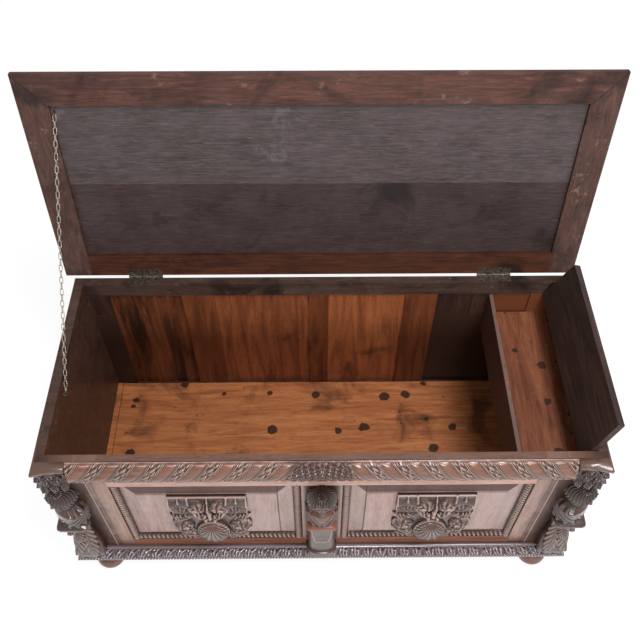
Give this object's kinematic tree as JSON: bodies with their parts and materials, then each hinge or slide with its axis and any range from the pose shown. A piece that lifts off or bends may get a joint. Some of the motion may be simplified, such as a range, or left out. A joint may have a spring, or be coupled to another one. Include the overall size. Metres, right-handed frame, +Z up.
{
  "type": "cassone chest",
  "caption": "Carved wooden chest on bun feet with a hinged framed lid, stay chain, lidded till, raised front panels with cartouches, and figure brackets.",
  "frame": {"origin": "on the floor under the middle of the bounding box with the lid open as stored", "axes": "+Z up, front of the chest faces -Y, +X to the right of a person facing the front"},
  "size_m": [1.397, 0.741, 1.2001],
  "materials": {
    "carved_wood": "waxed, worn high spots",
    "front_wood": "waxed",
    "carcase_wood": "dry, unwaxed",
    "floor_wood": "dry, stained",
    "lid_wood": "dry, worn",
    "lid_panel_wood": "dry, greyed",
    "back_panel_wood": "dry, unwaxed",
    "front_panel_wood": "waxed, bleached",
    "till_wood": "dry, worn",
    "foot_wood": "waxed",
    "iron": "dark forged"
  },
  "bodies": {
    "chest": {"back_bottom_rail": "carcase_wood", "back_muntin_centre": "carcase_wood", "back_muntin_left": "carcase_wood", "back_muntin_right": "carcase_wood", "back_panel_1": "back_panel_wood", "back_panel_2": "back_panel_wood", "back_panel_3": "back_panel_wood", "back_panel_4": "back_panel_wood", "back_stile_left": "carcase_wood", "back_stile_right": "carcase_wood", "back_top_rail": "carcase_wood", "base_front": "carved_wood", "base_left": "carved_wood", "base_right": "carved_wood", "bead_strips": "carved_wood", "bun_feet": "foot_wood", "cartouche_left": "carved_wood", "cartouche_right": "carved_wood", "centre_bracket": "carved_wood", "centre_mask": "carved_wood", "chain": "iron", "chain_eye_wall": "iron", "corner_bracket_left": "carved_wood", "corner_bracket_right": "carved_wood", "corner_capital_left": "carved_wood", "corner_capital_right": "carved_wood", "corner_herm_left": "carved_wood", "corner_herm_right": "carved_wood", "floor_bearers": "floor_wood", "floor_board_back": "floor_wood", "floor_board_front": "floor_wood", "floor_cleats": "floor_wood", "frieze_front": "carved_wood", "frieze_left": "carved_wood", "frieze_right": "carved_wood", "front_bottom_rail": "front_wood", "front_muntin": "front_wood", "front_panel_left": "front_panel_wood", "front_panel_right": "front_panel_wood", "front_stile_left": "front_wood", "front_stile_right": "front_wood", "front_top_rail": "front_wood", "hinge_leaves_chest": "iron", "hinge_pins": "iron", "hinge_screws_chest": "iron", "side_board_left": "carcase_wood", "side_board_right": "carcase_wood", "till_floor": "till_wood", "till_side": "till_wood"},
    "lid": {"lid_stile_left": "lid_wood", "lid_stile_right": "lid_wood", "lid_front_rail": "lid_wood", "lid_back_rail": "lid_wood", "lid_board_front": "lid_panel_wood", "lid_board_back": "lid_panel_wood", "hinge_leaves_lid": "iron", "hinge_screws_lid": "iron", "chain_eye_lid": "iron"},
    "till_lid": {"till_lid": "till_wood", "till_pins": "till_wood"}
  },
  "joints": [
    {"name": "lid_hinge", "type": "hinge", "parent": "chest", "child": "lid", "pos_m": [0, 0.25104, 0.616], "axis": [1, 0, 0], "range_deg": [0, 99.25], "deforming": ["chain"]},
    {"name": "till_lid_hinge", "type": "hinge", "parent": "chest", "child": "till_lid", "pos_m": [0.63146, 0, 0.572], "axis": [0, -1, 0], "range_deg": [0, 103]}
  ],
  "couplings": [
    {"joint": "till_lid_hinge", "follows": "lid_hinge", "ratio": 1.0377}
  ]
}
